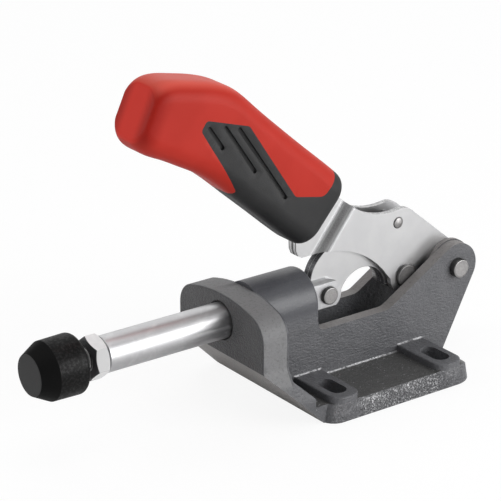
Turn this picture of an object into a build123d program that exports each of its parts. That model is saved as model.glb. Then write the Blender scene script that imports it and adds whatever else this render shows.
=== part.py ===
"""Push-pull toggle clamp with a cast base, heavy pattern.

Frame: +Z up from the mounting face, -Y the way the plunger pushes, +X to one side.
The origin is the centre of the four base slots, on the mounting face. Millimetres.
"""
from build123d import *
import math
import os

# ---------------------------------------------------------------- driving sizes
# fits
slide_gap = 0.05          # radial play of a pin or plunger in its bore
side_gap = 0.10           # side play between pieces stacked along a pin
stop_gap = 0.15           # between the link's back and the stop pin

# linkage, clamped
axis_height = 46.0        # plunger axis above the mounting face
pivot_y = 62.5            # rear pivot
crank_length = 27.0       # rear pivot to link pin
link_length = 48.0        # link pin to plunger pin
over_centre = 1.3         # degrees that the link pin lies past dead centre
handle_travel = 150.0     # degrees that the handle swings open

# base casting
base_width = 98.0
base_rear_y = 49.5
base_thickness = 9.5
base_front_corner_r = 8.0
base_rear_corner_r = 13.0
base_rear_fall = 4.0      # the plate's top falls towards its rear edge
base_rear_fall_run = 8.0
base_draft = 9.0          # degrees of lean on the plate's edge
slot_pitch_x = 70.0
slot_pitch_y = 65.0
slot_width = 9.0
slot_length = 17.5
slot_rim = 3.75           # land beside a slot
slot_pad_height = 13.0
slot_pad_corner_r = 6.5
slot_rim_round = 0.8

collar_face_y = -73.5
collar_thickness = 15.4
collar_half_width = 34.5
collar_crown = 14.0       # top of the collar above the plunger axis
collar_crown_r = 87.0
collar_shoulder_r = 12.0
collar_nose_z = 29.4      # where the 45 degree undercut starts
flare_top_z = 29.0
flare_foot_z = 14.5
flare_half_width = 44.0
flare_round_r = 8.0
flare_back_z = 23.0
flare_back_run = 9.1
collar_edge_round = 0.8
bore_mouth = 0.9          # chamfer round the plunger where it leaves the collar

barrel_r = 16.0
barrel_rear_y = -25.5
barrel_root_r = 3.4
barrel_edge_round = 2.0
cheek_thickness = 6.0
cheek_rail_z = 33.7
cheek_rail_end_y = 18.0
cheek_bend_r = 8.0
cheek_foot_y = 53.0
ear_r = 12.5
ear_boss_r = 13.0

# plunger
plunger_d = 18.0
plunger_front_y = -142.7
plunger_flat_half = 6.3   # half width across the fork's flats
plunger_tail_r = 8.0      # round end behind the plunger pin
fork_flat_length = 26.0   # flats ahead of the plunger pin
fork_slot_reach = 17.0    # slot ahead of the plunger pin
plunger_chamfer = 1.0
plunger_tap_depth = 42.0

# pins
plunger_pin_d = 9.2
plunger_pin_stand = 2.2   # proud of the fork's flat
link_pin_d = 8.0
link_pin_head_d = 12.0
link_pin_head = 1.8
pivot_pin_d = 10.0
pivot_pin_stand = 3.5     # proud of the cheek
pivot_sleeve_r = 7.0
stop_pin_d = 6.0
stop_pin_stand = 0.6
pin_end_chamfer = 0.5

# link
link_plate_thickness = 3.0
link_eye_r = 9.0
link_arch_r = 14.5
link_arch_drop = 6.3      # arch centre below the line of the eyes
link_back_drop = 10.0     # back's centre below the line of the eyes
link_back_corner_r = 17.0
saddle_gap = 0.15         # round the plunger pin as the link leaves it
link_washer_r = 8.0

# handle plates
handle_plate_thickness = 3.0
handle_plate_offset = 4.5  # inner face from the middle, at the pivots
joggle_run = 3.2
joggle_bend_r = 3.5
handle_ear_r = 10.5
handle_eye_r = 9.5
stop_pin_dy = -32.5       # stop pin from the rear pivot
stop_pin_dz = 28.8
tang_half_width = 9.0
tang_length = 100.0
tang_rivet_d = 5.0
tang_rivet_places = (0.22 * tang_length, 0.82 * tang_length)

# grip: a frame at the middle of its rear end, s along it and n across it
grip_rear_dy = -78.43     # from the rear pivot
grip_rear_dz = 44.02
grip_slope = 41.0         # degrees above the plunger axis
grip_half_width = 14.5
grip_corner_r = 9.5
grip_nose_round = 3.0
grip_rear_round = 1.2
inlay_groove_depth = 1.4
inlay_groove_width = 2.2

# pad
screw_d = 12.0
screw_head_af = 19.0
screw_head_height = 7.5
nut_af = 19.0
nut_height = 7.5
nut_turn = 41.0           # degrees from +X to a corner
pad_gap = 5.8             # thread that shows between nut and cap
cap_length = 24.9
cap_r = 14.5
cap_face_r = 10.0
cap_cone_length = 8.5
cap_rear_r = 14.8
cap_rear_round = 2.5
cap_mouth_r = 8.2
cap_mouth_depth = 2.0

# ---------------------------------------------------------------- worked-out places
reach = 400.0             # longer than the part, for cutting blocks

pivot = (pivot_y, axis_height)
link_pin_at = (
    pivot_y - crank_length * math.cos(math.radians(over_centre)),
    axis_height - crank_length * math.sin(math.radians(over_centre)),
)
plunger_pin_at = (
    link_pin_at[0] - math.sqrt(link_length**2 - (axis_height - link_pin_at[1]) ** 2),
    axis_height,
)
stop_pin_at = (pivot_y + stop_pin_dy, axis_height + stop_pin_dz)
cheek_outer_x = barrel_r
cheek_inner_x = cheek_outer_x - cheek_thickness
handle_outer_x = handle_plate_offset + handle_plate_thickness
grip_rear = (pivot_y + grip_rear_dy, axis_height + grip_rear_dz)


def crank_pose(opening):
    """Link pin and plunger pin with the handle opened by so many degrees."""
    turn = math.radians(opening - over_centre)
    pin_y = pivot_y - crank_length * math.cos(turn)
    pin_z = axis_height + crank_length * math.sin(turn)
    nose_y = pin_y - math.sqrt(link_length**2 - (pin_z - axis_height) ** 2)
    return (pin_y, pin_z), (nose_y, axis_height)


def link_slope(opening):
    """Angle of the line from plunger pin to link pin, in radians."""
    (pin_y, pin_z), (nose_y, nose_z) = crank_pose(opening)
    return math.atan2(pin_z - nose_z, pin_y - nose_y)


plunger_stroke = crank_pose(handle_travel)[1][0] - crank_pose(0)[1][0]


# ---------------------------------------------------------------- helpers
def side_face(*points):
    """A closed outline of (Y, Z) points, facing +X."""
    with BuildSketch(Plane.YZ) as sketch:
        with BuildLine():
            Polyline(*points, close=True)
        make_face()
    return sketch.sketch


def side_disc(centre, radius):
    """A disc on the side plane."""
    return Plane.YZ * Pos(*centre) * Circle(radius)


def slab(face, x0, x1):
    """A side face made solid from x0 to x1."""
    return Pos(x0, 0, 0) * extrude(face, x1 - x0)


def cross_bar(centre, radius, x0, x1):
    """A round bar along X."""
    return slab(side_disc(centre, radius), x0, x1)


def cross_pin(centre, diameter, half_length, chamfer_size):
    """A round pin along X with chamfered ends."""
    pin = cross_bar(centre, diameter / 2, -half_length, half_length)
    return chamfer(pin.edges().filter_by(GeomType.CIRCLE), chamfer_size)


def along_y(face, y0, y1):
    """A face on the XZ plane made solid from y0 to y1."""
    return Pos(0, y1, 0) * extrude(face, y1 - y0)


def round_bar(radius, y0, y1):
    """A round bar on the plunger axis."""
    return along_y(Plane.XZ * Pos(0, axis_height) * Circle(radius), y0, y1)


def tangent_point(start, centre, radius, turn):
    """Where a line from start touches a circle, on the side given by turn, +1 or -1."""
    dy, dz = start[0] - centre[0], start[1] - centre[1]
    angle = math.atan2(dz, dy) + turn * math.acos(radius / math.hypot(dy, dz))
    return (centre[0] + radius * math.cos(angle), centre[1] + radius * math.sin(angle))


def corners_near(sketch, *places):
    """The vertices of a side face that lie at the given (Y, Z) places."""
    return [sketch.vertices().sort_by_distance((0, y, z))[0] for y, z in places]


# ---------------------------------------------------------------- base casting
undercut_foot_y = collar_face_y + collar_nose_z
collar_back_y = collar_face_y + collar_thickness


def collar():
    """Front collar: a crowned block whose foot flares out and runs back at 45 degrees."""
    crown_z = axis_height + collar_crown
    shoulder_z = crown_z - collar_crown_r + math.sqrt(collar_crown_r**2 - collar_half_width**2)
    with BuildSketch(Plane.XZ) as outline:
        with BuildLine():
            ThreePointArc(
                (-collar_half_width, shoulder_z), (0, crown_z), (collar_half_width, shoulder_z)
            )
            Polyline(
                (collar_half_width, shoulder_z),
                (collar_half_width, flare_top_z),
                (flare_half_width, flare_foot_z),
                (flare_half_width, 0),
                (-flare_half_width, 0),
                (-flare_half_width, flare_foot_z),
                (-collar_half_width, flare_top_z),
                (-collar_half_width, shoulder_z),
            )
        make_face()
        fillet([v for v in outline.vertices() if abs(v.Y - shoulder_z) < 0.1], collar_shoulder_r)
        bends = [v for v in outline.vertices() if 0.1 < v.Y < flare_top_z + 0.1]
        fillet(bends, flare_round_r)
    block = along_y(outline.sketch, collar_face_y, undercut_foot_y + base_rear_corner_r)
    back_foot_z = flare_back_z - flare_back_run
    back_foot_y = collar_back_y + flare_back_run
    side = side_face(
        (collar_face_y, crown_z + 1),
        (collar_face_y, collar_nose_z),
        (undercut_foot_y, 0),
        (undercut_foot_y + slot_rim, 0),
        (undercut_foot_y + slot_rim, base_thickness),
        (back_foot_y, base_thickness),
        (back_foot_y, back_foot_z),
        (collar_back_y, flare_back_z),
        (collar_back_y, crown_z + 1),
    )
    block = block & slab(side, -reach, reach)
    faces = (collar_face_y, collar_back_y)
    rims = [
        edge
        for edge in block.edges()
        if min(abs(edge.center().Y - y) for y in faces) < 0.01 and edge.center().Z > collar_nose_z + 0.1
    ]
    return fillet(rims, collar_edge_round)


def barrel():
    """Guide barrel behind the collar, standing on the plate."""
    face = Plane.XZ * (Pos(0, axis_height) * Circle(barrel_r))
    face += Plane.XZ * (Pos(0, axis_height / 2) * Rectangle(2 * barrel_r, axis_height))
    block = along_y(face, collar_back_y - 1, barrel_rear_y)
    rear = block.faces().sort_by(Axis.Y)[-1]
    crown = rear.edges().filter_by(GeomType.CIRCLE)
    return fillet(crown, barrel_edge_round)


def cheek(x0):
    """One side cheek, from the barrel to the ear round the rear pivot."""
    rail_bend = (cheek_rail_end_y, cheek_rail_z)
    foot = (cheek_foot_y, 0)
    slope_end = tangent_point(rail_bend, pivot, ear_r, -1)
    back_end = tangent_point(foot, pivot, ear_r, 1)
    root = (barrel_rear_y, cheek_rail_z)
    face = side_face(
        (barrel_rear_y - barrel_r, 0),
        foot,
        back_end,
        pivot,
        slope_end,
        rail_bend,
        root,
        (barrel_rear_y - barrel_edge_round, axis_height),
        (barrel_rear_y - barrel_r, axis_height),
    )
    face = fillet(corners_near(face, rail_bend), cheek_bend_r)
    face = fillet(corners_near(face, root), barrel_root_r)
    return slab(face + side_disc(pivot, ear_r), x0, x0 + cheek_thickness)


def base_plate():
    """Foot plate with leaning edges and rounded corners."""
    length = base_rear_y - undercut_foot_y
    outline = Pos(0, (base_rear_y + undercut_foot_y) / 2) * Rectangle(base_width, length)
    outline = fillet(outline.vertices().group_by(Axis.Y)[0], base_front_corner_r)
    outline = fillet(outline.vertices().group_by(Axis.Y)[-1], base_rear_corner_r)
    plate = extrude(outline, base_thickness, taper=base_draft)
    lean = side_face(
        (base_rear_y - base_rear_fall_run, base_thickness),
        (base_rear_y + 1, base_thickness - base_rear_fall * (1 + 1 / base_rear_fall_run)),
        (base_rear_y + 1, base_thickness + 1),
        (base_rear_y - base_rear_fall_run, base_thickness + 1),
    )
    return plate - slab(lean, -reach, reach)


def slot_pad(x_side, y_side):
    """Raised land round one bolt slot, from the cheek to the plate's edge."""
    width = slot_width + 2 * slot_rim
    root_x = cheek_inner_x
    length = base_width / 2 - root_x
    face = Pos((root_x + base_width / 2) / 2, 0) * Rectangle(length, width)
    outer = face.vertices().group_by(Axis.X)[-1]
    pad = extrude(fillet(outer, slot_pad_corner_r), slot_pad_height)
    top = pad.faces().sort_by(Axis.Z)[-1]
    pad = fillet(top.edges().filter_by(lambda e: e.center().X > root_x + 1), slot_rim_round)
    if x_side < 0:
        pad = mirror(pad, Plane.YZ)
    return Pos(0, y_side * slot_pitch_y / 2, 0) * pad


def slot_cut(x_side, y_side):
    """Through slot running across the base."""
    face = SlotOverall(slot_length, slot_width)
    at = Pos(x_side * slot_pitch_x / 2, y_side * slot_pitch_y / 2, -1)
    return at * extrude(face, slot_pad_height + 2)


def base_casting():
    """The one-piece casting that carries everything."""
    body = base_plate() + collar() + barrel()
    body += cheek(cheek_inner_x)
    body += cheek(-cheek_outer_x)
    boss_x = handle_outer_x + side_gap
    for x0, x1 in ((boss_x, cheek_inner_x), (-cheek_inner_x, -boss_x)):
        body += cross_bar(pivot, ear_boss_r, x0, x1)
    sides = [(x, y) for x in (1, -1) for y in (1, -1)]
    for x, y in sides:
        body += slot_pad(x, y)
    for x, y in sides:
        body -= slot_cut(x, y)
    front = side_face(
        (collar_face_y - 1, -1),
        (collar_face_y - 1, collar_nose_z + 1),
        (undercut_foot_y + 1, -1),
    )
    body -= slab(front, -reach, reach)
    bore_r = plunger_d / 2 + slide_gap
    bore = round_bar(bore_r, collar_face_y - 1, barrel_rear_y + 1)
    mouth = Cone(bore_r + bore_mouth, bore_r, bore_mouth, align=(Align.CENTER, Align.CENTER, Align.MIN))
    body -= bore + Pos(0, collar_face_y, axis_height) * Rot(-90, 0, 0) * mouth
    body -= cross_bar(pivot, pivot_pin_d / 2 + slide_gap, -reach, reach)
    return body


# ---------------------------------------------------------------- plunger and pad
plunger_tail_y = plunger_pin_at[0] + plunger_tail_r
nut_front_y = plunger_front_y - nut_height
cap_rear_y = nut_front_y - pad_gap
cap_front_y = cap_rear_y - cap_length
head_rear_y = cap_rear_y - cap_mouth_depth
head_front_y = head_rear_y - screw_head_height


def hex_face(across_flats, turn):
    """A hexagon round the plunger axis."""
    hexagon = RegularPolygon(across_flats / 2, 6, major_radius=False)
    return Plane.XZ * Pos(0, axis_height) * Rot(0, 0, turn) * hexagon


def plunger():
    """Round plunger with a flatted, slotted fork at its tail."""
    bar = round_bar(plunger_d / 2, plunger_front_y, plunger_tail_y)
    rim = bar.edges().filter_by(GeomType.CIRCLE).sort_by(Axis.Y)[0]
    bar = chamfer(rim, plunger_chamfer)
    flats_front = plunger_pin_at[0] - fork_flat_length
    middle = (flats_front + plunger_tail_y) / 2
    length = plunger_tail_y - flats_front
    for side in (1, -1):
        x = side * (plunger_flat_half + plunger_d / 2)
        bar -= Pos(x, middle + 1, axis_height) * Box(plunger_d, length + 2, 2 * plunger_d)
    corner = side_face(
        (plunger_pin_at[0], axis_height - plunger_d),
        (plunger_tail_y + 1, axis_height - plunger_d),
        (plunger_tail_y + 1, axis_height + plunger_d),
        (plunger_pin_at[0], axis_height + plunger_d),
    )
    corner -= side_disc(plunger_pin_at, plunger_tail_r)
    bar -= slab(corner, -plunger_d, plunger_d)
    slot_half = link_plate_thickness + side_gap
    slot_front = plunger_pin_at[0] - fork_slot_reach
    slot_length_y = plunger_tail_y + 1 - slot_front
    slot_middle = Pos(0, slot_front + slot_length_y / 2, axis_height)
    bar -= slot_middle * Box(2 * slot_half, slot_length_y, 2 * plunger_d)
    bar -= cross_bar(plunger_pin_at, plunger_pin_d / 2 + slide_gap, -plunger_d, plunger_d)
    tap_end = plunger_front_y + plunger_tap_depth
    return bar - round_bar(screw_d / 2 + slide_gap, plunger_front_y - 1, tap_end)


def plunger_pin():
    """Cross pin through the fork."""
    return cross_pin(plunger_pin_at, plunger_pin_d, plunger_flat_half + plunger_pin_stand, pin_end_chamfer)


def lock_nut():
    """Hexagon lock nut with both ends chamfered."""
    nut = along_y(hex_face(nut_af, nut_turn), nut_front_y, plunger_front_y)
    corner_r = nut_af / math.sqrt(3)
    cone_reach = corner_r - nut_af / 2 * 0.97
    blank = round_bar(corner_r, nut_front_y, plunger_front_y)
    blank = chamfer(blank.edges().filter_by(GeomType.CIRCLE), cone_reach * 0.55, cone_reach)
    nut = nut & blank
    return nut - round_bar(screw_d / 2 + slide_gap, nut_front_y - 1, plunger_front_y + 1)


def pad_screw():
    """Hexagon screw that carries the cap; its thread is a plain cylinder here."""
    screw = round_bar(screw_d / 2, head_rear_y, plunger_front_y + plunger_tap_depth - screw_d / 2)
    tip = screw.edges().filter_by(GeomType.CIRCLE).sort_by(Axis.Y)[-1]
    screw = chamfer(tip, plunger_chamfer)
    return screw + along_y(hex_face(screw_head_af, 0), head_front_y, head_rear_y)


def rubber_cap():
    """Rubber cap drawn over the screw's head: cylinder, cone and flat face."""
    start = (0, cap_front_y)
    with BuildSketch(Plane.XY) as half:
        with BuildLine():
            Polyline(
                start,
                (cap_face_r, cap_front_y),
                (cap_r, cap_front_y + cap_cone_length),
                (cap_rear_r, cap_rear_y),
                (cap_mouth_r, cap_rear_y),
                (0, cap_rear_y),
                close=True,
            )
        make_face()
        fillet(half.vertices().sort_by_distance((cap_rear_r, cap_rear_y, 0))[0], cap_rear_round)
        fillet(half.vertices().sort_by_distance((cap_face_r, cap_front_y, 0))[0], 0.8)
    cap = Pos(0, 0, axis_height) * revolve(half.sketch, Axis.Y)
    cap -= along_y(hex_face(screw_head_af + 2 * slide_gap, 0), head_front_y, head_rear_y)
    return cap - round_bar(cap_mouth_r, head_rear_y - 1, cap_rear_y + 1)


# ---------------------------------------------------------------- link
def link_frame(u, v):
    """Link coordinates to (Y, Z): u from plunger pin to link pin, v to its back."""
    angle = link_slope(0)
    return (
        plunger_pin_at[0] + u * math.cos(angle) - v * math.sin(angle),
        plunger_pin_at[1] + u * math.sin(angle) + v * math.cos(angle),
    )


def pin_in_link(opening):
    """Plunger pin in link coordinates, when link and plunger follow the handle evenly."""
    share = opening / handle_travel
    slope = link_slope(0) + share * (link_slope(handle_travel) - link_slope(0))
    (pin_y, pin_z), _ = crank_pose(opening)
    dy = plunger_pin_at[0] + share * plunger_stroke - (pin_y - link_length * math.cos(slope))
    dz = axis_height - (pin_z - link_length * math.sin(slope))
    return (dy * math.cos(slope) + dz * math.sin(slope), dz * math.cos(slope) - dy * math.sin(slope))


def link_outline():
    """Arched link: two eyes, a round back that meets the stop pin, an arch over the pivot."""
    half = link_length / 2
    back_centre = link_frame(half, -link_back_drop)
    to_stop = math.hypot(stop_pin_at[0] - back_centre[0], stop_pin_at[1] - back_centre[1])
    back_r = to_stop - stop_pin_d / 2 - stop_gap
    ends = (-link_eye_r, link_length + link_eye_r)
    band = side_face(
        link_frame(ends[0], 0),
        link_frame(0, 0),
        link_frame(0, -link_eye_r / 2),
        link_frame(link_length, -link_eye_r / 2),
        link_frame(link_length, 0),
        link_frame(ends[1], 0),
        link_frame(ends[1], 2 * back_r),
        link_frame(ends[0], 2 * back_r),
    )
    band = band & side_disc(back_centre, back_r)
    corner_v = math.sqrt(back_r**2 - (half + link_eye_r) ** 2) - link_back_drop
    shoulders = corners_near(band, link_frame(ends[0], corner_v), link_frame(ends[1], corner_v))
    band = fillet(shoulders, link_back_corner_r)
    band += side_disc(link_pin_at, link_eye_r) + side_disc(plunger_pin_at, link_eye_r)
    band -= side_disc(link_frame(half, -link_arch_drop), link_arch_r)
    return band


def saddle_cut():
    """Room that the plunger pin takes in the link as the clamp opens: the eye becomes a saddle."""
    radius = plunger_pin_d / 2 + saddle_gap
    steps = 12
    places = [pin_in_link(handle_travel * i / steps) for i in range(steps + 1)]
    cut = side_face(*[link_frame(u, v) for u, v in places[:-1]])
    for (u0, v0), (u1, v1) in zip(places, places[1:]):
        run = math.hypot(u1 - u0, v1 - v0)
        nu, nv = -(v1 - v0) / run * radius, (u1 - u0) / run * radius
        ends = ((u0 + nu, v0 + nv), (u1 + nu, v1 + nv), (u1 - nu, v1 - nv), (u0 - nu, v0 - nv))
        cut += side_face(*[link_frame(u, v) for u, v in ends])
        cut += side_disc(link_frame(u0, v0), radius)
    below = side_face(
        link_frame(-2 * link_eye_r, -link_eye_r / 6),
        link_frame(link_eye_r, -link_eye_r / 6),
        link_frame(link_eye_r, -2 * link_eye_r),
        link_frame(-2 * link_eye_r, -2 * link_eye_r),
    )
    return cut + below


def link_plate(side):
    """One of the link's two plates."""
    face = link_outline() - saddle_cut()
    face -= side_disc(link_pin_at, link_pin_d / 2 + slide_gap)
    x0 = 0 if side > 0 else -link_plate_thickness
    return slab(face, x0, x0 + link_plate_thickness)


def link_pin():
    """Riveted pin through link and handle plates."""
    half = handle_outer_x + side_gap
    pin = cross_bar(link_pin_at, link_pin_d / 2, -half, half)
    for side in (1, -1):
        inner = side * (handle_outer_x + side_gap / 2)
        outer = side * (handle_outer_x + side_gap / 2 + link_pin_head)
        head = cross_bar(link_pin_at, link_pin_head_d / 2, min(inner, outer), max(inner, outer))
        rim = head.edges().filter_by(GeomType.CIRCLE).sort_by(Axis.X)[-1 if side > 0 else 0]
        pin += chamfer(rim, pin_end_chamfer)
    return pin


def link_washer(side):
    """Washer between link and handle plate."""
    inner = link_plate_thickness + side_gap / 2
    outer = handle_plate_offset - side_gap / 2
    x0, x1 = (inner, outer) if side > 0 else (-outer, -inner)
    bore = side_disc(link_pin_at, link_pin_d / 2 + slide_gap)
    return slab(side_disc(link_pin_at, link_washer_r) - bore, x0, x1)


# ---------------------------------------------------------------- handle
def grip_point(s, n):
    """Grip coordinates to (Y, Z): s from the rear end to the nose, n to the top."""
    slope = math.radians(grip_slope)
    return (
        grip_rear[0] - s * math.cos(slope) + n * math.sin(slope),
        grip_rear[1] + s * math.sin(slope) + n * math.cos(slope),
    )


def from_pivot(dy, dz):
    """A place given from the rear pivot."""
    return (pivot_y + dy, axis_height + dz)


def from_link_pin(dy, dz):
    """A place given from the link pin."""
    return (link_pin_at[0] + dy, link_pin_at[1] + dz)


def handle_outline():
    """Side outline of a handle plate: tang, neck, stop-pin hump, pivot ear and link eye."""
    hump = (stop_pin_at[0] + 1.3, stop_pin_at[1] + 7.1)
    hump_end = (stop_pin_at[0] + 10.1, stop_pin_at[1] + 3.7)
    back_end = tangent_point(hump_end, pivot, handle_ear_r, -1)
    throat = from_link_pin(-12.2, 3.3)
    neck_top = from_pivot(-60.2, 42.8)
    neck_bottom = from_pivot(-78.5, 23.5)
    with BuildSketch(Plane.YZ) as outline:
        with BuildLine():
            Polyline(
                neck_bottom,
                from_pivot(-83.5, 22.0),
                from_pivot(-89.3, 22.1),
                from_pivot(-91.6, 23.3),
                from_pivot(-92.8, 26.2),
                from_pivot(-93.0, 31.0),
                grip_point(11.0, -tang_half_width),
                grip_point(tang_length, -tang_half_width),
                grip_point(tang_length, tang_half_width),
                grip_point(9.0, tang_half_width + 2.0),
                neck_top,
            )
            ThreePointArc(neck_top, from_pivot(-44.9, 36.1), hump)
            ThreePointArc(hump, (stop_pin_at[0] + 6.6, stop_pin_at[1] + 6.3), hump_end)
            Polyline(
                hump_end,
                back_end,
                pivot,
                (link_pin_at[0], link_pin_at[1] - handle_eye_r),
                (link_pin_at[0] - handle_eye_r, link_pin_at[1]),
                throat,
            )
            ThreePointArc(throat, from_pivot(-57.2, 18.0), neck_bottom)
        make_face()
    web = side_face(
        (pivot_y, axis_height - handle_ear_r),
        pivot,
        link_pin_at,
        (link_pin_at[0], link_pin_at[1] - handle_eye_r),
    )
    return outline.sketch + web + side_disc(pivot, handle_ear_r) + side_disc(link_pin_at, handle_eye_r)


def joggled_sheet():
    """A sheet that steps outwards from the tang's plane to the pivots' plane."""
    foot, top = from_pivot(-80.4, 21.8), from_pivot(-62.5, 44.4)
    along = Vector(0, top[0] - foot[0], top[1] - foot[1]).normalized()
    away = Vector(0, along.Z, -along.Y)
    plane = Plane(origin=(0, foot[0], foot[1]), x_dir=away, z_dir=away.cross(Vector(1, 0, 0)))
    t = handle_plate_thickness
    rise = handle_plate_offset
    with BuildSketch(plane) as section:
        with BuildLine():
            Polyline(
                (-reach, 0),
                (0, 0),
                (joggle_run, rise),
                (reach, rise),
                (reach, rise + t),
                (joggle_run - 0.6 * t, rise + t),
                (-0.6 * t, t),
                (-reach, t),
                close=True,
            )
        make_face()
        fillet([v for v in section.vertices() if abs(v.X) < reach / 2], joggle_bend_r)
    return extrude(section.sketch, reach / 2, both=True)


def handle_plate(side):
    """One of the two handle stampings."""
    plate = slab(handle_outline(), 0, handle_outer_x) & joggled_sheet()
    plate -= cross_bar(pivot, pivot_pin_d / 2 + slide_gap, -reach, reach)
    plate -= cross_bar(link_pin_at, link_pin_d / 2 + slide_gap, -reach, reach)
    plate -= cross_bar(stop_pin_at, stop_pin_d / 2, -reach, reach)
    for s in tang_rivet_places:
        plate -= cross_bar(grip_point(s, 0), tang_rivet_d / 2, -reach, reach)
    return plate if side > 0 else mirror(plate, Plane.YZ)


def stop_pin():
    """Riveted pin between the handle plates; the link's back rests on it when clamped."""
    return cross_pin(stop_pin_at, stop_pin_d, handle_outer_x + stop_pin_stand, pin_end_chamfer)


def tang_rivets():
    """Rivets that hold the two tangs together inside the grip."""
    half = handle_plate_thickness
    rivets = [cross_bar(grip_point(s, 0), tang_rivet_d / 2, -half, half) for s in tang_rivet_places]
    return Compound(children=rivets)


def pivot_pin():
    """Rear pivot pin through both cheeks."""
    return cross_pin(pivot, pivot_pin_d, cheek_outer_x + pivot_pin_stand, pin_end_chamfer)


def pivot_sleeve():
    """Spacer sleeve between the handle plates on the rear pivot."""
    ring = side_disc(pivot, pivot_sleeve_r) - side_disc(pivot, pivot_pin_d / 2 + slide_gap)
    half = handle_plate_offset - side_gap / 2
    return slab(ring, -half, half)


# ---------------------------------------------------------------- grip
# top and bottom of each section in grip coordinates, and its share of the full width
grip_sections = (
    ((2.0, 16.0), (2.0, -17.6), 0.80),
    ((4.6, 18.5), (4.6, -20.1), 0.95),
    ((10.0, 19.2), (10.0, -20.8), 1.00),
    ((32.0, 19.2), (32.0, -20.8), 1.00),
    ((54.0, 19.3), (54.0, -20.8), 1.00),
    ((74.0, 19.8), (69.0, -20.8), 1.00),
    ((91.0, 19.7), (81.0, -22.0), 1.00),
    ((106.0, 14.6), (93.0, -24.6), 1.00),
    ((116.5, 8.9), (104.0, -27.2), 1.00),
    ((124.2, 4.2), (113.5, -29.6), 0.98),
    ((127.9, 0.4), (119.4, -29.2), 0.93),
    ((129.3, -3.0), (122.4, -27.2), 0.82),
)


def grip_body():
    """Whole grip: rounded-rectangle sections lofted from the rear end to the nose."""
    sections = []
    for top, bottom, wide in grip_sections:
        top_y, top_z = grip_point(*top)
        bottom_y, bottom_z = grip_point(*bottom)
        height = math.hypot(top_y - bottom_y, top_z - bottom_z)
        up = Vector(0, top_y - bottom_y, top_z - bottom_z) / height
        middle = (0, (top_y + bottom_y) / 2, (top_z + bottom_z) / 2)
        plane = Plane(origin=middle, x_dir=(1, 0, 0), z_dir=Vector(1, 0, 0).cross(up))
        width = 2 * wide * grip_half_width
        radius = min(grip_corner_r, 0.45 * width, 0.45 * height)
        sections.append(plane * RectangleRounded(width, height, radius))
    body = loft(sections)
    ends = body.faces().filter_by(GeomType.PLANE).sort_by(Axis.Y)
    body = fillet(ends[0].edges(), grip_nose_round)
    rear = body.faces().filter_by(GeomType.PLANE).sort_by(Axis.Y)[-1]
    return fillet(rear.edges(), grip_rear_round)


def inlay_region():
    """Side outline of the soft inlay: a slanted panel that runs on over the grip's rear end."""
    tip_top, tip_foot = (98.6, -0.6), (98.0, -6.2)
    shoulder, notch, rear_top = (75.5, 9.6), (28.3, -3.5), (13.0, 5.0)
    lower = (58.5, -18.5)
    face = side_face(
        *[
            grip_point(s, n)
            for s, n in (
                tip_top, shoulder, notch, rear_top, (10.5, 30.0), (-20.0, 30.0),
                (-20.0, -40.0), (63.0, -40.0), lower, tip_foot,
            )
        ]
    )
    face = fillet(corners_near(face, grip_point(*tip_top), grip_point(*tip_foot)), 2.2)
    face = fillet(corners_near(face, grip_point(*shoulder), grip_point(*notch)), 3.0)
    face = fillet(corners_near(face, grip_point(*rear_top)), 5.0)
    return fillet(corners_near(face, grip_point(*lower)), 1.5)


# front and rear end of each groove in grip coordinates
inlay_grooves = (
    ((94.7, -2.9), (82.3, -6.2)),
    ((87.0, 2.0), (58.4, -5.7)),
    ((79.5, 5.5), (33.8, -6.7)),
)


def groove_cuts():
    """Slanting grooves on both sides of the inlay."""
    cuts = []
    for front, rear in inlay_grooves:
        front_y, front_z = grip_point(*front)
        rear_y, rear_z = grip_point(*rear)
        middle = Pos((front_y + rear_y) / 2, (front_z + rear_z) / 2)
        turn = math.degrees(math.atan2(rear_z - front_z, rear_y - front_y))
        length = math.hypot(rear_z - front_z, rear_y - front_y)
        face = Plane.YZ * middle * Rot(0, 0, turn) * SlotCenterToCenter(length, inlay_groove_width)
        inner = grip_half_width - inlay_groove_depth
        cuts += [slab(face, inner, 2 * grip_half_width), slab(face, -2 * grip_half_width, -inner)]
    return cuts


def tang_cavity():
    """Room in the grip for the two tangs."""
    half = handle_plate_thickness + side_gap
    return slab(handle_outline(), -half, half)


def grip_shell():
    """Hard shell of the grip."""
    return grip_body() - slab(inlay_region(), -reach, reach) - tang_cavity()


def grip_inlay():
    """Soft inlay of the grip."""
    inlay = (grip_body() & slab(inlay_region(), -reach, reach)) - tang_cavity()
    for cut in groove_cuts():
        inlay -= cut
    return inlay


# ---------------------------------------------------------------- files
PIECES = {
    "base_casting": base_casting,
    "plunger": plunger,
    "plunger_pin": plunger_pin,
    "lock_nut": lock_nut,
    "pad_screw": pad_screw,
    "rubber_cap": rubber_cap,
    "link_plate_left": lambda: link_plate(-1),
    "link_plate_right": lambda: link_plate(1),
    "link_pin": link_pin,
    "link_washer_left": lambda: link_washer(-1),
    "link_washer_right": lambda: link_washer(1),
    "handle_plate_left": lambda: handle_plate(-1),
    "handle_plate_right": lambda: handle_plate(1),
    "stop_pin": stop_pin,
    "tang_rivets": tang_rivets,
    "grip_shell": grip_shell,
    "grip_inlay": grip_inlay,
    "pivot_pin": pivot_pin,
    "pivot_sleeve": pivot_sleeve,
}

os.makedirs("parts", exist_ok=True)
for name, make in PIECES.items():
    export_step(make(), f"parts/{name}.step")
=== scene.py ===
"""Looks of a push-pull toggle clamp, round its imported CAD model.

Everything is in metres in the part's frame: +Z up from the mounting face, -Y the way the
plunger pushes, +X to one side. Each finished piece sits at the origin, with its place in its
mesh, and rides on the body of the CAD node that it stands for.
"""
import math

import bmesh
import bpy
import numpy as np
from mathutils import Matrix, Vector


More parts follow.
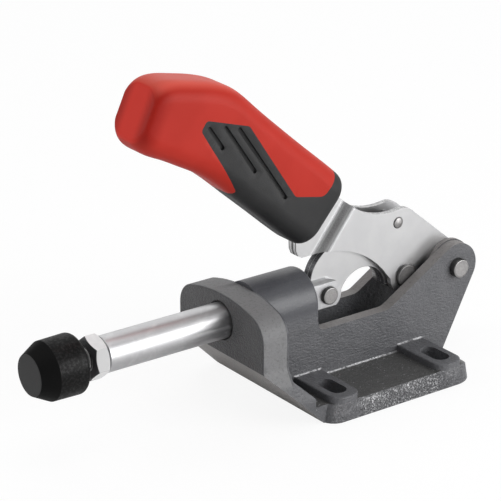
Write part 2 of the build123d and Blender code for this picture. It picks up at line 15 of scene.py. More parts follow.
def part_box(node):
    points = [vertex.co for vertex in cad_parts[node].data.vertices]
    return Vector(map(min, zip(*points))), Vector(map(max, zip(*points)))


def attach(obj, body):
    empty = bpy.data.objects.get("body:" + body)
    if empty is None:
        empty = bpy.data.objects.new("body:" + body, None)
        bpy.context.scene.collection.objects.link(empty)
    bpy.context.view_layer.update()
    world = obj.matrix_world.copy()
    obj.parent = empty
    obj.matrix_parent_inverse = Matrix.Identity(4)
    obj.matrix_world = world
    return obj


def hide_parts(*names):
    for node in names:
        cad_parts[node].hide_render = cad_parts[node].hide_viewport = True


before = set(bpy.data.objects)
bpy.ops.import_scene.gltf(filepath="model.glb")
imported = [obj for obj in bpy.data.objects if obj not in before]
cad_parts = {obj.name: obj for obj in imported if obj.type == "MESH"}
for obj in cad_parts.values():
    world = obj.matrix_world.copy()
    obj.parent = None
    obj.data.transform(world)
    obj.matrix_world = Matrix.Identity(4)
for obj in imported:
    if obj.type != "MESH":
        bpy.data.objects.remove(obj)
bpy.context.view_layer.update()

MM = 0.001
FULL_TURN = 2 * math.pi


def corners(node):
    """Lowest and highest corner of a CAD node as arrays."""
    low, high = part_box(node)
    return np.array(low), np.array(high)


# ---------------------------------------------------------------- sizes read from the frame
nut_low, nut_high = corners("lock_nut")
axis_z = float(nut_low[2] + nut_high[2]) / 2
cap_front, cap_back = (float(corner[1]) for corner in corners("rubber_cap"))
screw_low, screw_high = corners("pad_screw")
screw_front, screw_back = float(screw_low[1]), float(screw_high[1])
head_corner_r = float(screw_high[0])

# ---------------------------------------------------------------- sizes set here
# the casting, as in the CAD
plate_top = 9.5 * MM            # top face of the foot plate
land_top = 13.0 * MM            # top face of the slotted lands
land_start = 24.25 * MM         # where the lands start and end, from the middle along Y
land_end = 40.75 * MM
cheek_x = 16.0 * MM             # outer faces of the cheeks
collar_back = -58.1 * MM        # rear of the front collar
barrel_back = -25.5 * MM        # rear of the guide barrel

# the rubber cap, its main sizes as in the CAD
cap_face_r = 10.0 * MM          # flat pressing face
cap_cone_length = 8.5 * MM
cap_r = 14.5 * MM               # at the end of the cone
cap_rear_r = 14.8 * MM
cap_rear_round = 2.5 * MM
cap_edge_round = 0.6 * MM
cap_mouth_r = 8.2 * MM          # hollow round the screw's head
cap_mouth_depth = 2.0 * MM
cap_floor_round = 0.3 * MM
cap_centre_r = 0.05 * MM        # the front and the hollow's floor close to this at the axis

# the screw's thread, a plain cylinder in the CAD
thread_pitch = 1.75 * MM
thread_crest_r = 5.95 * MM
thread_root_r = 4.95 * MM

# the grip's nose, for its painted light and shade
nose_half_width = 14 * MM
nose_ahead = 120.85 * MM        # a point on the nose's plane, ahead and up
nose_up = 161.13 * MM
nose_forward, nose_tilt = 0.906, 0.424      # the plane's normal: how far it faces ahead and up


# ---------------------------------------------------------------- shader maths
class Wire:
    """A shader socket that takes part in sums."""

    def __init__(self, nodes, socket):
        self.nodes = nodes
        self.socket = socket

    def _sum(self, operation, first, second=None):
        values = {0: first} if second is None else {0: first, 1: second}
        return self.nodes.node("ShaderNodeMath", {"operation": operation}, values)

    def __add__(self, other):
        return self._sum("ADD", self, other)

    def __radd__(self, other):
        return self._sum("ADD", other, self)

    def __sub__(self, other):
        return self._sum("SUBTRACT", self, other)

    def __rsub__(self, other):
        return self._sum("SUBTRACT", other, self)

    def __mul__(self, other):
        return self._sum("MULTIPLY", self, other)

    def __rmul__(self, other):
        return self._sum("MULTIPLY", other, self)

    def __truediv__(self, other):
        return self._sum("DIVIDE", self, other)

    def __gt__(self, other):
        return self._sum("GREATER_THAN", self, other)

    def __lt__(self, other):
        return self._sum("LESS_THAN", self, other)

    def __abs__(self):
        return self._sum("ABSOLUTE", self)

    def sine(self):
        return self._sum("SINE", self)

    def root(self):
        return self._sum("SQRT", self)

    def most(self, other):
        return self._sum("MAXIMUM", self, other)

    def step(self, start, end):
        """0 up to start, 1 from end, smooth between; start may be above end."""
        if start > end:
            return 1 - self.step(end, start)
        inputs = {"Value": self, "From Min": start, "From Max": end}
        settings = {"interpolation_type": "SMOOTHSTEP"}
        return self.nodes.node("ShaderNodeMapRange", settings, inputs)


class Nodes:
    """A node tree, made node by node: settings first, then values or links of its sockets."""

    def __init__(self, tree):
        self.tree = tree

    def node(self, kind, settings=None, inputs=None, out=0):
        made = self.tree.nodes.new(kind)
        for key, value in (settings or {}).items():
            setattr(made, key, value)
        for key, value in (inputs or {}).items():
            self.feed(made.inputs[key], value)
        return Wire(self, made.outputs[out])

    def feed(self, socket, value):
        if isinstance(value, Wire):
            self.tree.links.new(value.socket, socket)
        elif isinstance(value, tuple) and socket.type == "RGBA":
            socket.default_value = (*value, 1.0)
        else:
            socket.default_value = value

    def split(self, vector):
        made = self.node("ShaderNodeSeparateXYZ", inputs={0: vector})
        return [Wire(self, made.socket.node.outputs[i]) for i in range(3)]

    def mix(self, share, first, second):
        """Colour from first to second."""
        inputs = {0: share, 6: first, 7: second}
        return self.node("ShaderNodeMix", {"data_type": "RGBA"}, inputs, out=2)


class Finish(Nodes):
    """One material on object coordinates."""

    def __init__(self, name):
        self.material = bpy.data.materials.new(name)
        self.material.use_nodes = True
        super().__init__(self.material.node_tree)
        self.shader = self.tree.nodes["Principled BSDF"]
        self.place = self.node("ShaderNodeTexCoord", out="Object")
        self.x, self.y, self.z = self.split(self.place)

    def stretched(self, scale):
        """Object coordinates drawn out by a factor on each axis."""
        return self.node("ShaderNodeMapping", inputs={"Vector": self.place, "Scale": scale})

    def noise(self, size, detail=2.0, rough=0.5, at=None, twist=0.0):
        """Cloudy noise from 0 to 1 whose blobs are about size metres across."""
        inputs = {"Scale": 1 / size, "Detail": detail, "Roughness": rough, "Distortion": twist}
        inputs["Vector"] = at or self.place
        return self.node("ShaderNodeTexNoise", inputs=inputs)

    def facing(self):
        """Normal of the surface in the piece's own axes, split."""
        return self.split(self.node("ShaderNodeTexCoord", out="Normal"))

    def from_axis(self):
        """Distance from the plunger's axis."""
        dz = self.z - axis_z
        return (self.x * self.x + dz * dz).root()

    def bump(self, height, depth, strength=1.0, under=None):
        """Normal of a surface raised by depth metres where height is 1."""
        inputs = {"Height": height, "Distance": depth, "Strength": strength}
        if under is not None:
            inputs["Normal"] = under
        return self.node("ShaderNodeBump", inputs=inputs)

    def wear(self, **sockets):
        """Sets the shader's sockets, named with underscores for spaces."""
        for key, value in sockets.items():
            self.feed(self.shader.inputs[key.replace("_", " ")], value)
        return self.material


# ---------------------------------------------------------------- finishes
def grey(tone):
    return (tone, tone, tone)


def cast_paint():
    """Dark grey paint over a sand casting: ground edges, a smooth barrel, a crusted foot."""
    paint, light_paint = (0.103, 0.105, 0.112), (0.121, 0.122, 0.130)
    deck_tone = (0.072, 0.072, 0.070)
    front_tone = (0.078, 0.078, 0.080)
    barrel_tone = (0.082, 0.084, 0.094)
    ground_rim, ground_cheek = (0.205, 0.205, 0.208), (0.27, 0.255, 0.25)
    edge_wear_and_highlight_tone = (0.38, 0.34, 0.32)
    grit_tone, hollow_tone = (0.21, 0.21, 0.22), (0.065, 0.065, 0.068)
    undercut_tone = (0.33, 0.315, 0.305)
    bore_shadow_tone = grey(0.008)
    rim_tone, bare_and_highlight_tone = (0.20, 0.20, 0.215), (0.64, 0.64, 0.65)

    f = Finish("cast_paint")
    nx, ny, nz = f.facing()
    across = abs(f.x)
    sand = f.noise(1.3 * MM, 2.5, 0.55)
    grit = f.noise(0.55 * MM, 2.0, 0.6)
    clouds = f.noise(26 * MM, 2.0, 0.5)

    # where on the casting
    in_collar = f.y.step(collar_back - 1.1 * MM, collar_back - 1.5 * MM)
    behind_collar = 1 - in_collar
    high = f.z.step(plate_top + 10 * MM, plate_top + 14 * MM)
    off_floor = 0.2 * MM
    # edges that were ground flat before painting: the collar's rim and the cheeks' narrow edges
    collar_rim = in_collar * abs(ny).step(0.6, 0.3) * high
    behind_barrel = f.y.step(barrel_back - 1 * MM, barrel_back + 1 * MM)
    cheek_edge = behind_collar * abs(nx).step(0.5, 0.3) * behind_barrel * high
    ground = collar_rim.most(cheek_edge)
    # the guide barrel is smoother than the rest
    before_cheeks = f.y.step(barrel_back + 0.5 * MM, barrel_back - 0.5 * MM)
    on_barrel = behind_collar * before_cheeks * f.z.step(36 * MM, 46 * MM)
    front = abs(ny).step(0.75, 0.95) * in_collar

    tone = f.mix(clouds.step(0.3, 0.7), paint, light_paint)
    deck = nz.step(0.85, 0.95) * f.z.step(plate_top + 0.6 * MM, plate_top + 0.2 * MM)
    tone = f.mix(deck, tone, deck_tone)
    tone = f.mix(front, tone, front_tone)
    tone = f.mix(on_barrel, tone, barrel_tone)
    tone = f.mix(ground, tone, f.mix(cheek_edge, ground_rim, ground_cheek))
    # paint worn off the cheeks' rounded edges, and a painted highlight along them
    edge_wear_and_highlight = f.noise(3 * MM, 3.0, 0.6).step(0.40, 0.55) * behind_collar * high
    edge_wear_and_highlight = edge_wear_and_highlight * abs(nx).step(0.35, 0.5) * abs(nx).step(0.92, 0.8)
    edge_wear_and_highlight = edge_wear_and_highlight * f.y.step(barrel_back, barrel_back + 2 * MM)
    tone = f.mix(edge_wear_and_highlight * 0.7, tone, edge_wear_and_highlight_tone)
    tone = f.mix(grit.step(0.56, 0.74) * 0.30, tone, grit_tone)
    tone = f.mix(sand.step(0.50, 0.30) * 0.30, tone, hollow_tone)
    # the undercut below the collar is warmer
    undercut = nz.step(-0.15, -0.5) * (1 - (f.z < off_floor))
    tone = f.mix(undercut * (0.72 + 0.28 * sand), tone, undercut_tone)
    # painted shadow: a dark ring on the chamfer round the bore, where the plunger enters
    bore_shadow = in_collar * f.from_axis().step(10.2 * MM, 9.9 * MM)
    tone = f.mix(bore_shadow, tone, bore_shadow_tone)
    # bare sparkling crust on the foot's long edges
    rim = across.step(cheek_x + 29.8 * MM, cheek_x + 31.0 * MM) * abs(nx).step(0.55, 0.8)
    rim = rim * f.z.step(plate_top + 0.4 * MM, plate_top - 0.6 * MM)
    rim = rim * (0.22 + 0.78 * abs(f.y).step(26 * MM, 22 * MM))
    tone = f.mix(rim * 0.7, tone, rim_tone)
    crust = f.noise(0.95 * MM, 4.0, 0.75, twist=0.6).step(0.37, 0.57)
    clumps = f.noise(9 * MM, 2.0, 0.5).step(0.36, 0.58)
    bare_and_highlight = rim * crust * (0.55 + 0.45 * clumps) * (0.55 + 0.45 * f.z.step(2 * MM, 7 * MM))
    # a worn line, with a painted highlight on the fillet, where the foot and its lands meet the
    # cheeks
    by_cheek = across.step(cheek_x + 1.2 * MM, cheek_x + 0.4 * MM) * (across > cheek_x - 0.1 * MM)
    floor_z = plate_top + (land_top - plate_top) * (abs(f.y) > land_start)
    above = f.z - floor_z
    seam = by_cheek * above.step(0.8 * MM, 0.3 * MM) * (above > -0.1 * MM)
    seam = seam * (abs(f.y) < land_end)
    bare_and_highlight = bare_and_highlight.most(seam * f.noise(1.4 * MM, 3.0, 0.7).step(0.38, 0.50))
    # chips along the lands' edges
    land = (across > cheek_x + 2 * MM) * (f.z > plate_top - 1.5 * MM) * (f.z < plate_top + 1 * MM)
    bare_and_highlight = bare_and_highlight.most(land * f.noise(1.1 * MM, 3.0, 0.7).step(0.64, 0.70) * 0.7)
    bare_and_highlight = bare_and_highlight * (f.z > off_floor)
    # bare metal of the crust and the chips, and the line by the cheeks, which is partly a painted
    # highlight
    tone = f.mix(bare_and_highlight, tone, bare_and_highlight_tone)

    calm = 1 - 0.75 * on_barrel - 0.4 * ground
    drawn = f.noise(1.0 * MM, 2.5, 0.6, at=f.stretched((1.0, 0.5, 1.0)))
    grain = f.bump(drawn * calm, 0.55 * MM)
    grain = f.bump(grit * calm, 0.14 * MM, under=grain)
    grain = f.bump(f.noise(7 * MM, 1.0) * calm, 0.7 * MM, 0.8, under=grain)
    pitted = front * (0.25 + 0.75 * f.z.step(56 * MM, 36 * MM))
    grain = f.bump(f.noise(1.15 * MM, 2.5, 0.6) * pitted, 1.3 * MM, under=grain)
    grain = f.bump(crust * rim, 1.0 * MM, under=grain)
    return f.wear(
        Base_Color=tone,
        Metallic=bare_and_highlight * 0.4,
        Roughness=0.34 + 0.12 * grit + 0.16 * ground - 0.06 * on_barrel,
        Normal=grain,
    )


def polished_steel():
    """Ground and polished plunger: fine rings round the bar and faint handling marks."""
    f = Finish("plunger_steel")
    rings = f.noise(0.35 * MM, 2.0, 0.6, at=f.stretched((0.15, 1.0, 0.15)))
    smears = f.noise(9 * MM, 4.0, 0.6, twist=0.8)
    return f.wear(
        Base_Color=f.mix(smears.step(0.4, 0.7), (0.58, 0.58, 0.59), (0.66, 0.66, 0.665)),
        Metallic=1.0,
        Roughness=0.36 + 0.07 * smears + 0.04 * rings,
        Normal=f.bump(rings, 0.02 * MM, 0.25),
    )


def zinc_plate(name, edge_tone, edge_rough=0.5, tang_highlight_and_shade=0.0):
    """Satin zinc plate; the sheared edges are darker and drawn along their height.

    With the tang argument, the edges that lie together by the grip get a painted highlight along
    each plate's middle and painted shade where the plates meet.
    """
    edge_highlight = tuple(min(1.0, 1.9 * part) for part in edge_tone)
    face_tone, light_face = (0.64, 0.64, 0.645), grey(0.69)
    bend_dark_reflection_tone = (0.36, 0.36, 0.365)
    tang_gap_shade_tone, tang_highlight_tone = grey(0.13), grey(0.80)

    f = Finish(name)
    nx = f.facing()[0]
    edge = abs(nx).step(0.75, 0.45)
    satin = f.noise(0.7 * MM, 3.0, 0.65)
    haze = f.noise(18 * MM, 3.0, 0.55)
    tears = f.noise(0.5 * MM, 3.0, 0.7, at=f.stretched((0.25, 1.0, 1.0)))
    face = f.mix(haze.step(0.35, 0.7), face_tone, light_face)
    side = f.mix(tears.step(0.4, 0.62), edge_tone, edge_highlight)
    across = abs(f.x)
    # painted highlight along the middle of each plate's edge at the tang, painted shade where the
    # plates meet
    tang = across.step(3.6 * MM, 3.3 * MM) * tang_highlight_and_shade
    middle = across.step(0.5 * MM, 0.8 * MM) * across.step(2.6 * MM, 2.2 * MM)
    side = f.mix(tang, side, f.mix(middle, tang_gap_shade_tone, tang_highlight_tone))
    # painted dark reflection: the joggle's bends darker than the flat faces
    bend = abs(nx).step(0.995, 0.97) * abs(nx).step(0.78, 0.86)
    face = f.mix(bend, face, bend_dark_reflection_tone)
    grain = f.bump(satin, 0.03 * MM, 0.35)
    grain = f.bump(tears * edge, 0.12 * MM, 0.5, under=grain)
    return f.wear(
        Base_Color=f.mix(edge, face, side),
        Metallic=1.0,
        Roughness=0.27 + 0.10 * satin + (edge_rough - 0.33) * edge,
        Normal=grain,
    )


def bright_zinc():
    """Bright plated nut: light flats, the flats that face sideways darker with painted shade, a
    darker end face with faint turning rings.
    """
    flat_tone, light_flat = grey(0.86), grey(0.92)
    side_facet_shade_tone, end_tone = grey(0.60), (0.11, 0.11, 0.115)
    ring_rate = 6500            # radians per metre from the axis

    f = Finish("bright_zinc")
    nx, ny, _ = f.facing()
    end = abs(ny).step(0.3, 0.45)
    haze = f.noise(4 * MM, 3.0, 0.6)
    satin = f.noise(0.6 * MM, 2.0, 0.6)
    tone = f.mix(haze.step(0.35, 0.7), flat_tone, light_flat)
    # painted shade on the flats that face sideways
    tone = f.mix(abs(nx).step(0.7, 0.9), tone, side_facet_shade_tone)
    tone = f.mix(end, tone, end_tone)
    rings = (f.from_axis() * ring_rate).sine() * end
    grain = f.bump(rings, 0.03 * MM, 0.3)
    return f.wear(
        Base_Color=tone,
        Metallic=0.20 + 0.7 * end,
        Roughness=0.50 + 0.10 * satin,
        Normal=f.bump(satin, 0.03 * MM, 0.3, under=grain),
    )


def turned_pin(name, node, unshaded_share=1.0):
    """Pin whose end shows turning rings, a rim groove with painted shade and mottled steel; the
    shank carries a painted dark reflection, and a share below 1 darkens the end with painted shade.
    """
    steel_tone, light_steel = (0.33, 0.322, 0.32), (0.42, 0.41, 0.405)
    groove_shade_tone, end_shade_tone, shank_dark_reflection_tone = grey(0.14), grey(0.03), grey(0.11)
    ring_rate = 34              # radians from the centre to the rim
    groove_at = 0.8             # share of the radius

    f = Finish(name)
    low, high = corners(node)
    centre_y, centre_z = float(low[1] + high[1]) / 2, float(low[2] + high[2]) / 2
    radius = float(high[2] - low[2]) / 2
    dy, dz = f.y - centre_y, f.z - centre_z
    away = (dy * dy + dz * dz).root() / radius
    end = abs(f.facing()[0]).step(0.6, 0.9)
    rings = (away * ring_rate).sine() * end
    groove = end * away.step(groove_at - 0.06, groove_at)
    groove = groove * away.step(groove_at + 0.08, groove_at + 0.02)
    mottle = f.noise(1.2 * MM, 3.0, 0.65)
    tone = f.mix(mottle.step(0.35, 0.7), steel_tone, light_steel)
    # painted shade in the rim groove
    tone = f.mix(groove * 0.45, tone, groove_shade_tone)
    # painted dark reflection on the shank
    # painted shade: a share below 1 darkens the end toward near black
    tone = f.mix(end, shank_dark_reflection_tone, f.mix(unshaded_share, end_shade_tone, tone))
    grain = f.bump(rings, 0.03 * MM, 0.30)
    grain = f.bump(groove, 0.25 * MM, -0.8, under=grain)
    grain = f.bump(mottle, 0.05 * MM, 0.4, under=grain)
    return f.wear(Base_Color=tone, Metallic=1.0, Roughness=0.36 + 0.16 * mottle, Normal=grain)


def red_plastic():
    """Satin moulded plastic with a very fine spark-eroded grain."""
    red, light_red = (0.475, 0.026, 0.015), (0.515, 0.031, 0.019)
    lit_nose_tone, corner_shade_tone = (0.70, 0.038, 0.023), (0.34, 0.010, 0.005)
    top_highlight_tone, grain_tone = (0.74, 0.10, 0.07), (0.56, 0.055, 0.04)

    f = Finish("red_plastic")
    grain = f.noise(0.35 * MM, 2.0, 0.6)
    cloud = f.noise(22 * MM, 2.0, 0.5)
    tone = f.mix(cloud.step(0.3, 0.7), red, light_red)
    # painted light: the nose is paler; painted shade: its two upright corners deeper in colour;
    # painted highlight: the top lighter
    behind = (f.y + nose_ahead) * nose_forward - (f.z - nose_up) * nose_tilt
    from_corner = nose_half_width - abs(f.x) + behind
    tone = f.mix(behind.step(1.5 * MM, 0.3 * MM), tone, lit_nose_tone)
    tone = f.mix(from_corner.step(10 * MM, 2.5 * MM) * 0.8, tone, corner_shade_tone)
    tone = f.mix(f.facing()[2].step(0.55, 0.95), tone, top_highlight_tone)
    tone = f.mix(grain.step(0.55, 0.8) * 0.25, tone, grain_tone)
    return f.wear(
        Base_Color=tone,
        Roughness=0.42 + 0.10 * grain,
        Specular_IOR_Level=0.16,
        Normal=f.bump(grain, 0.05 * MM, 0.35),
    )


def soft_black():
    """Soft black moulding with a fine leathery grain."""
    black, light_black = (0.012, 0.012, 0.0125), (0.018, 0.018, 0.0185)
    grain_tone = (0.055, 0.055, 0.057)

    f = Finish("soft_black")
    grain = f.noise(0.42 * MM, 3.0, 0.65)
    cloud = f.noise(16 * MM, 2.0, 0.5)
    tone = f.mix(cloud.step(0.3, 0.7), black, light_black)
    tone = f.mix(grain.step(0.58, 0.78) * 0.5, tone, grain_tone)
    return f.wear(
        Base_Color=tone,
        Roughness=0.46 + 0.14 * grain,
        Specular_IOR_Level=0.4,
        Normal=f.bump(grain, 0.10 * MM, 0.7),
    )


def cap_rubber():
    """Black rubber: dull grey pressing face, near-black cone, satin scuffed cylinder."""
    cone_tone, scuff_tone = grey(0.003), grey(0.010)
    face_tone, light_face = grey(0.056), grey(0.074)

    f = Finish("cap_rubber")
    front = f.y.step(cap_front + 0.5 * MM, cap_front + 0.3 * MM)
    cone_end = cap_front + cap_cone_length
    cylinder = f.y.step(cone_end - 0.15 * MM, cone_end + 0.15 * MM)
    scuff = f.noise(1.3 * MM, 4.0, 0.7)
    grain = f.noise(0.5 * MM, 2.0, 0.6)
    tone = f.mix(cylinder * scuff.step(0.4, 0.75), cone_tone, scuff_tone)
    tone = f.mix(front, tone, f.mix(grain, face_tone, light_face))
    return f.wear(
        Base_Color=tone,
        Roughness=0.50 + 0.12 * grain + 0.20 * front,
        Specular_IOR_Level=0.10,
        Coat_Weight=cylinder * (0.10 + 0.22 * scuff.step(0.42, 0.70)),
        Coat_Roughness=0.32,
        Normal=f.bump(grain + 0.5 * scuff, 0.06 * MM, 0.35),
    )


def thread_steel():
    """Plated thread, its roots darkened with painted shade."""
    f = Finish("thread_steel")
    crest = f.from_axis().step(5.2 * MM, 5.9 * MM)
    mottle = f.noise(1.0 * MM, 2.0)
    # painted shade in the roots, lighter crests
    tone = f.mix(crest, grey(0.10), grey(0.50))
    return f.wear(Base_Color=tone, Metallic=1.0, Roughness=0.34 + 0.15 * mottle)


# ---------------------------------------------------------------- meshes
def added(name, data):
    """A new object in the scene."""
    made = bpy.data.objects.new(name, data)
    bpy.context.scene.collection.objects.link(made)
    return made


def coat(mesh, material):
    """Makes a material the only one of a mesh."""
    mesh.materials.clear()
    mesh.materials.append(material)


def piece(name, mesh, material, body, slot, *nodes):
    """A finished piece that rides on a body and stands for the given CAD nodes."""
    coat(mesh, material)
    made = added(name, mesh)
    if nodes:
        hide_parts(*nodes)
    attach(made, body)
    return made


def joined_copy(node, flat_limit, weld=2e-6):
    """A CAD node's mesh with its loose triangles joined and its flat faces merged."""
    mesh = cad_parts[node].data.copy()
    form = bmesh.new()
    form.from_mesh(mesh)
    bmesh.ops.remove_doubles(form, verts=form.verts, dist=weld)
    if flat_limit:
        limit = math.radians(flat_limit)
        bmesh.ops.dissolve_limit(form, angle_limit=limit, verts=form.verts, edges=form.edges)
    form.to_mesh(mesh)
    form.free()
    return mesh


def smooth(mesh, limit):
    """Smooth shading with sharp edges kept above the limit in degrees."""
    mesh.polygons.foreach_set("use_smooth", np.ones(len(mesh.polygons), bool))
    mesh.set_sharp_from_angle(angle=math.radians(limit))


def eased(name, node, material, body, slot, radius, steps=2, limit=32.0, flat_limit=0.5):
    """A CAD node's form with every edge sharper than limit rounded to the given radius."""
    mesh = joined_copy(node, flat_limit)
    smooth(mesh, limit)
    made = piece(name, mesh, material, body, slot, node)
    bevel = made.modifiers.new("rounding", "BEVEL")
    bevel.width = radius
    bevel.segments = steps
    bevel.limit_method = "ANGLE"
    bevel.angle_limit = math.radians(limit)
    bevel.use_clamp_overlap = True
    bevel.harden_normals = True


def grid_mesh(name, points):
    """A mesh from a grid of points, rows along and columns round, with quads between them."""
    rows, columns = points.shape[:2]
    index = np.arange(rows * columns).reshape(rows, columns)
    right = np.roll(index, -1, axis=1)
    quads = np.stack((index[:-1], right[:-1], right[1:], index[1:]), axis=-1)
    mesh = bpy.data.meshes.new(name)
    mesh.from_pydata(points.reshape(-1, 3).tolist(), [], quads.reshape(-1, 4).tolist())
    mesh.update()
    return mesh


def rounded_profile(points, radii, steps=6):
    """A polyline with each inner corner replaced by a circular arc of its radius.

    At a corner with unit directions a and b to its neighbours, the arc starts r / tan(half angle)
    along a, ends as far along b, and its centre lies on the bisector at r / sin(half angle).
    """
    points = np.array(points, float)
    parts = [points[:1]]
    for before, corner, after, radius in zip(points, points[1:], points[2:], radii):
        a = (before - corner) / np.linalg.norm(before - corner)
        b = (after - corner) / np.linalg.norm(after - corner)
        half = math.acos(np.clip(a @ b, -1, 1)) / 2
        middle = (a + b) / np.linalg.norm(a + b)
        centre = corner + middle * radius / math.sin(half)
        start = corner + a * radius / math.tan(half) - centre
        end = corner + b * radius / math.tan(half) - centre
        share = np.linspace(0, 1, steps + 1)[:, None]
        span = math.pi - 2 * half
        arc = (np.sin((1 - share) * span) * start + np.sin(share * span) * end) / math.sin(span)
        parts.append(centre + arc)
    parts.append(points[-1:])
    return np.concatenate(parts)


def round_axis(radius, turn, y):
    """Points at a radius and a turn round the plunger's axis, y along it."""
    across, up = radius * np.cos(turn), axis_z + radius * np.sin(turn)
    return np.stack(np.broadcast_arrays(across, y, up), axis=-1)


# ---------------------------------------------------------------- pieces
zinc = zinc_plate("zinc_plate", grey(0.36), tang_highlight_and_shade=1.0)
dark_edge_zinc = zinc_plate("link_zinc", (0.095, 0.095, 0.10), edge_rough=0.46)
hidden_pin = turned_pin("hidden_pin", "pivot_sleeve")


def metalwork():
    """Casting, plunger, plates and pins: the CAD forms with rounded edges."""
    eased(
        "cast_body", "base_casting", cast_paint(), "base", "cast_paint",
        radius=0.7 * MM, steps=3, limit=28,
    )
    eased(
        "plunger_bar", "plunger", polished_steel(), "plunger", "plunger_steel",
        radius=0.25 * MM,
    )
    eased(
        "lock_nut_body", "lock_nut", bright_zinc(), "plunger", "zinc_plate",
        radius=0.3 * MM, limit=20,
    )
    for side in ("left", "right"):
        eased(
            "handle_cheek_" + side, "handle_plate_" + side, zinc, "handle", "zinc_plate",
            radius=0.3 * MM, limit=40,
        )
        eased(
            "link_lamina_" + side, "link_plate_" + side, dark_edge_zinc, "link", "zinc_plate",
            radius=0.3 * MM, limit=40,
        )
    fine = {"radius": 0.25 * MM, "limit": 30}
    domed = {"radius": 0.7 * MM, "steps": 6, "limit": 60}
    # node, body, share of the end left out of the painted shade, edge rounding
    pins = (
        ("plunger_pin", "plunger", 1.0, fine),
        ("link_pin", "handle", 0.45, fine),
        ("stop_pin", "handle", 1.0, domed),
        ("pivot_pin", "base", 1.0, fine),
    )
    for node, body, unshaded_share, edge in pins:
        steel = turned_pin(node, node, unshaded_share)
        eased(node + "_turned", node, steel, body, "pin_steel", **edge)
    for node in ("link_washer_left", "link_washer_right", "tang_rivets", "pivot_sleeve"):
        coat(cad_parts[node].data, hidden_pin)


def grip():
    """Hard shell and soft inlay, whose eased edges leave a fine parting groove between them."""
    edge = {"radius": 0.35 * MM, "limit": 35, "flat_limit": 0}
    eased("grip_red", "grip_shell", red_plastic(), "handle", "red_plastic", **edge)
    eased("grip_black", "grip_inlay", soft_black(), "handle", "soft_black", **edge)


def rubber_cap():
    """Turned rubber cap, closed at its axis in front and hollow behind round the screw head."""
    hollow_floor = cap_back - cap_mouth_depth
    outline = [
        (cap_front, cap_centre_r),
        (cap_front, cap_face_r),
        (cap_front + cap_cone_length, cap_r),
        (cap_back, cap_rear_r),
        (cap_back, cap_mouth_r),
        (hollow_floor, cap_mouth_r),
        (hollow_floor, cap_centre_r),
    ]
    radii = [cap_edge_round, cap_edge_round, cap_rear_round, cap_edge_round, cap_floor_round]
    profile = rounded_profile(outline, radii)
    turn = np.linspace(0, FULL_TURN, 96, endpoint=False)
    mesh = grid_mesh("rubber_cap_skin", round_axis(profile[:, 1:], turn, profile[:, :1]))
    smooth(mesh, 40)
    piece("rubber_cap_skin", mesh, cap_rubber(), "pad", "cap_rubber", "rubber_cap")


def pad_screw():
    """Threaded shank and hexagon head.

    The thread's radius is a rounded triangle wave of (y / pitch - turn / 2 pi), between root
    and crest, and runs out over the last two turns.
    """
    head_back = cap_back - cap_mouth_depth
    wave_height, wave_cut, runout_turns = 1.35, 0.12, 2
    turn = np.linspace(0, FULL_TURN, 64, endpoint=False)
    y = np.linspace(head_back, screw_back, 260)[:, None]
    phase = (y / thread_pitch - turn / FULL_TURN) % 1.0
    triangle = 1 - 2 * np.abs(phase - 0.5)
    wave = np.clip(wave_height * triangle - wave_cut, 0, 1)
    runout = np.clip((screw_back - y) / (runout_turns * thread_pitch), 0, 1)
    radius = thread_root_r + (thread_crest_r - thread_root_r) * wave * runout
    points = round_axis(radius, turn, y)
    tip = points[-1:].copy()
    tip[..., 0] = 0
    tip[..., 2] = axis_z
    mesh = grid_mesh("screw_thread", np.concatenate((points, tip)))
    smooth(mesh, 50)
    piece("screw_thread", mesh, thread_steel(), "pad", "zinc_plate", "pad_screw")

    sixths = np.arange(6) * math.pi / 3
    steps = np.array(
        [(screw_front, 0), (screw_front, head_corner_r), (head_back, head_corner_r), (head_back, 0)]
    )
    head = grid_mesh("screw_head", round_axis(steps[:, 1:], sixths, steps[:, :1]))
    piece("screw_head", head, zinc, "pad", "zinc_plate")


# ---------------------------------------------------------------- studio
def floor():
    """Pale floor that shows soft shadows on near white."""
    half, drop = 12.0, 0.2 * MM
    glow_share, glow_strength = 0.85, 1.04

    mesh = bpy.data.meshes.new("floor")
    edge = ((-half, -half), (half, -half), (half, half), (-half, half))
    mesh.from_pydata([(x, y, -drop) for x, y in edge], [], [(0, 1, 2, 3)])
    ground = added("floor", mesh)
    f = Finish("floor_white")
    f.wear(Base_Color=grey(0.95), Roughness=0.95)
    seen = f.node("ShaderNodeLightPath", out="Is Camera Ray")
    glow = f.node("ShaderNodeEmission", inputs={"Color": grey(1), "Strength": glow_strength})
    matt = Wire(f, f.shader.outputs[0])
    both = f.node("ShaderNodeMixShader", inputs={0: seen * glow_share, 1: matt, 2: glow})
    f.feed(f.tree.nodes["Material Output"].inputs["Surface"], both)
    mesh.materials.append(f.material)


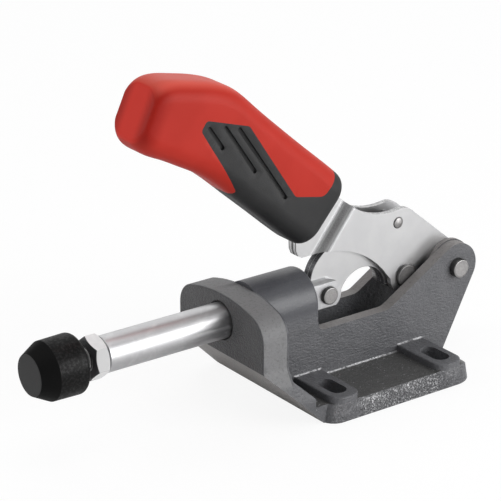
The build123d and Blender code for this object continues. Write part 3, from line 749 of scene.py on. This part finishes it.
def surroundings():
    """White to the camera, an even fill, and reflections bright at the horizon, grey above."""
    ramp_stops = ((0.0, 1.0), (0.16, 1.0), (0.30, 0.30), (0.60, 0.20), (0.78, 0.50), (1.0, 0.60))
    fill_tone = (0.29, 0.29, 0.295)

    world = bpy.data.worlds.new("studio")
    world.use_nodes = True
    bpy.context.scene.world = world
    sky = Nodes(world.node_tree)
    rise = sky.split(sky.node("ShaderNodeTexCoord", out="Generated"))[2]
    ramp = sky.node("ShaderNodeValToRGB", inputs={0: rise})
    stops = ramp.socket.node.color_ramp.elements
    while len(stops) < len(ramp_stops):
        stops.new(0.5)
    for stop, (at, tone) in zip(stops, ramp_stops):
        stop.position = at
        stop.color = (*grey(tone), 1)
    lit = sky.mix(sky.node("ShaderNodeLightPath", out="Is Glossy Ray"), fill_tone, ramp)
    shown = sky.mix(sky.node("ShaderNodeLightPath", out="Is Camera Ray"), lit, grey(1))
    background = sky.tree.nodes["Background"]
    sky.feed(background.inputs["Color"], shown)
    background.inputs["Strength"].default_value = 1.0


def lamps():
    """Four soft square lamps that face the clamp."""
    middle = Vector((0, -0.04, 0.06))
    # name, place, width in metres, watts
    plan = (
        ("key", (0.95, 0.56, 0.40), 0.8, 9.0),
        ("left", (-0.45, -1.0, 0.60), 0.6, 3.0),
        ("top", (0.1, -0.1, 1.3), 1.0, 3.0),
        ("back", (-0.80, 0.62, 0.75), 1.0, 2.6),
    )
    for name, where, width, power in plan:
        data = bpy.data.lights.new(name, "AREA")
        data.size = width
        data.energy = power
        lamp = added(name, data)
        lamp.location = where
        lamp.rotation_euler = (middle - Vector(where)).to_track_quat("-Z", "Y").to_euler()


def camera():
    """Long lens from the plunger's side, a little above."""
    azimuth, height = math.radians(53.65), math.radians(21.8)
    eye_place = (0.86026, -0.68867, 0.50499)
    image_size, focal_pixels, sensor_width = 501, 2400, 36.0

    level = math.cos(height)
    back = Vector((level * math.sin(azimuth), -level * math.cos(azimuth), math.sin(height)))
    right = Vector((math.cos(azimuth), math.sin(azimuth), 0))
    up = back.cross(right)
    data = bpy.data.cameras.new("camera")
    data.sensor_width = sensor_width
    data.lens = sensor_width * focal_pixels / image_size
    eye = added("camera", data)
    turn = Matrix((right, up, back)).transposed()
    eye.matrix_world = Matrix.Translation(eye_place) @ turn.to_4x4()
    bpy.context.scene.camera = eye
    bpy.context.scene.view_settings.view_transform = "Standard"


metalwork()
grip()
rubber_cap()
pad_screw()
floor()
surroundings()
lamps()
camera()
